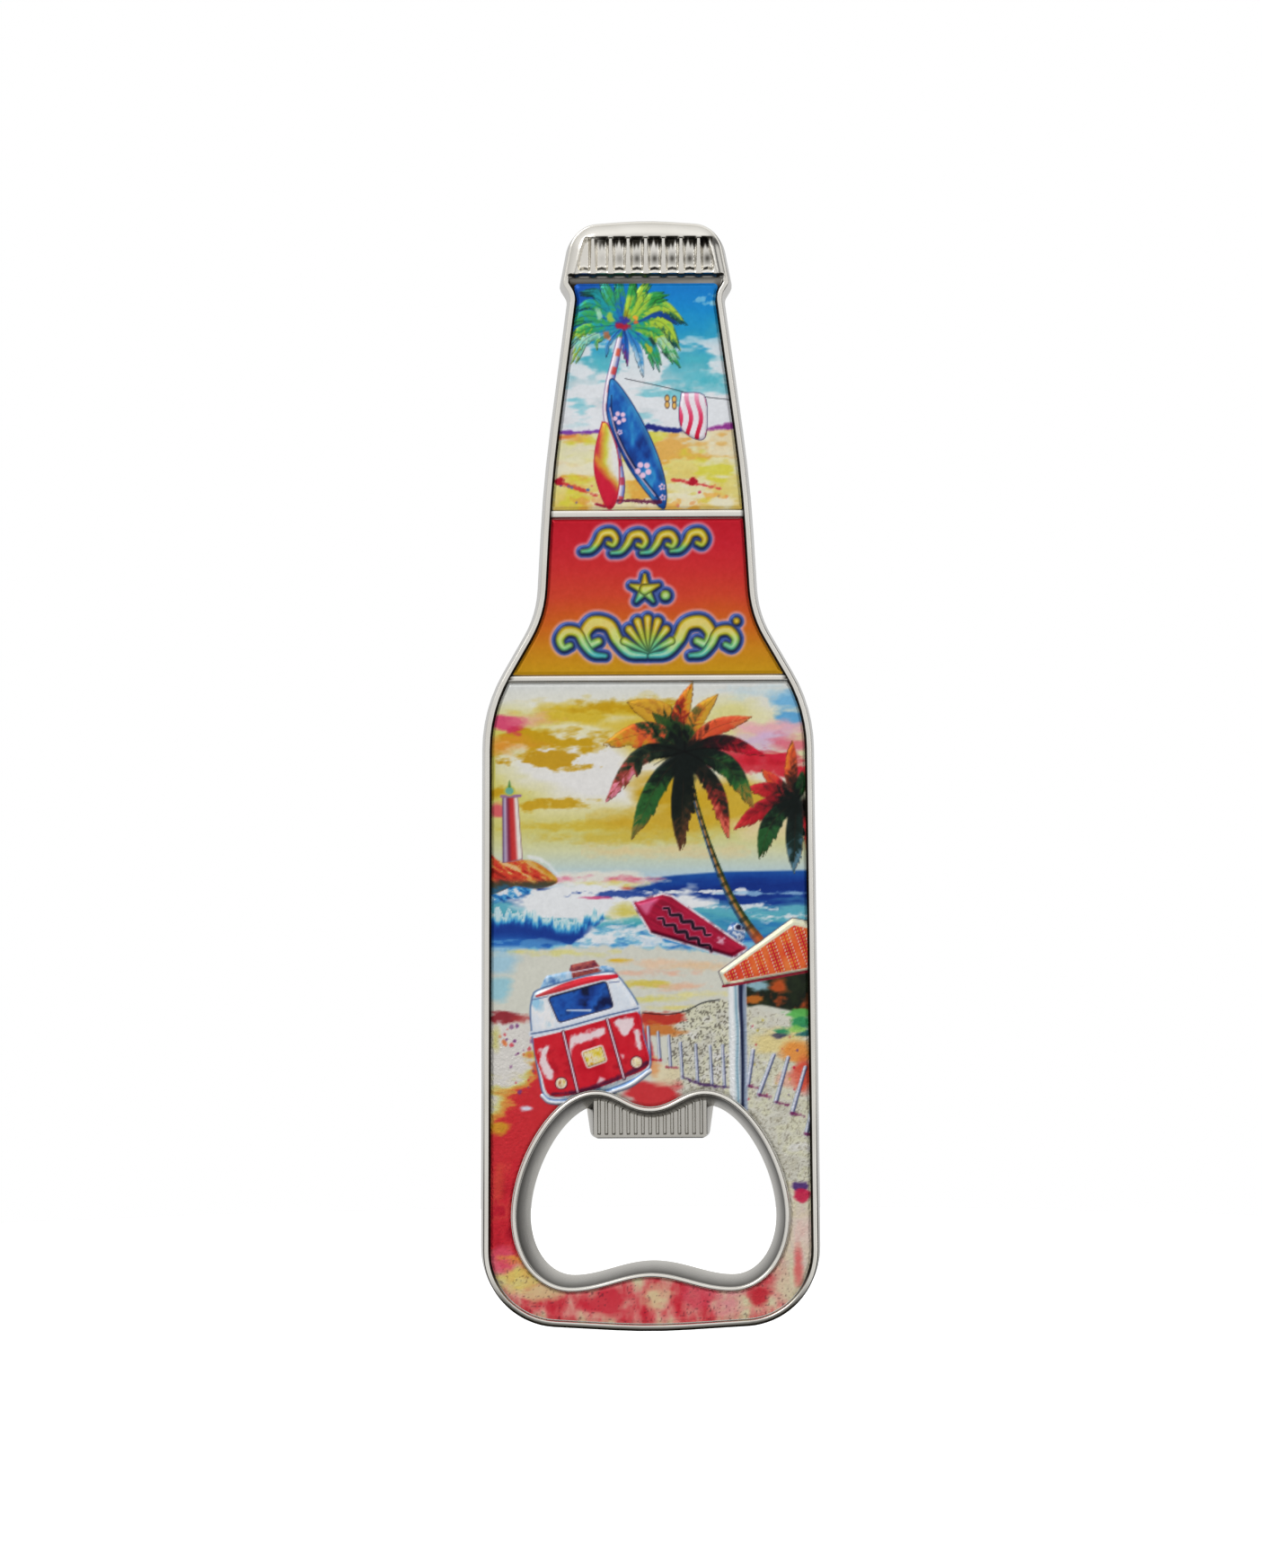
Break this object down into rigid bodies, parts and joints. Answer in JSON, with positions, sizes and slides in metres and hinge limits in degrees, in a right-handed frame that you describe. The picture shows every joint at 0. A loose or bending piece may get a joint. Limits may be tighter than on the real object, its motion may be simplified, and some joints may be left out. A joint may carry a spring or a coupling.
{
  "type": "souvenir bottle opener",
  "caption": "Flat metal bottle opener shaped like a long-neck bottle, with printed foil panels on its front, a mouth with a cast tooth, and magnets set in its back.",
  "frame": {"origin": "on the flat back face, at the middle of the opener's length and width, between the two magnets", "axes": "+Z along the opener towards the cap end, +Y out of the flat back face, +X to the right seen from the front; the printed front faces -Y"},
  "size_m": [0.0382, 0.0058, 0.1245],
  "materials": {
    "nickel_plate": "polished nickel plate over die-cast zinc",
    "printed_foil": "embossed metal foil with a printed beach scene under a gloss film",
    "adhesive_film": "double-sided adhesive film",
    "ferrite": "sintered ferrite, matt, dark grey",
    "glue": "cured glue"
  },
  "bodies": {
    "root": {"casting": "nickel_plate", "neck_foil": "printed_foil", "title_foil": "printed_foil", "scene_foil": "printed_foil", "neck_adhesive": "adhesive_film", "title_adhesive": "adhesive_film", "scene_adhesive": "adhesive_film", "upper_magnet": "ferrite", "lower_magnet": "ferrite", "upper_magnet_glue": "glue", "lower_magnet_glue": "glue"}
  },
  "joints": []
}
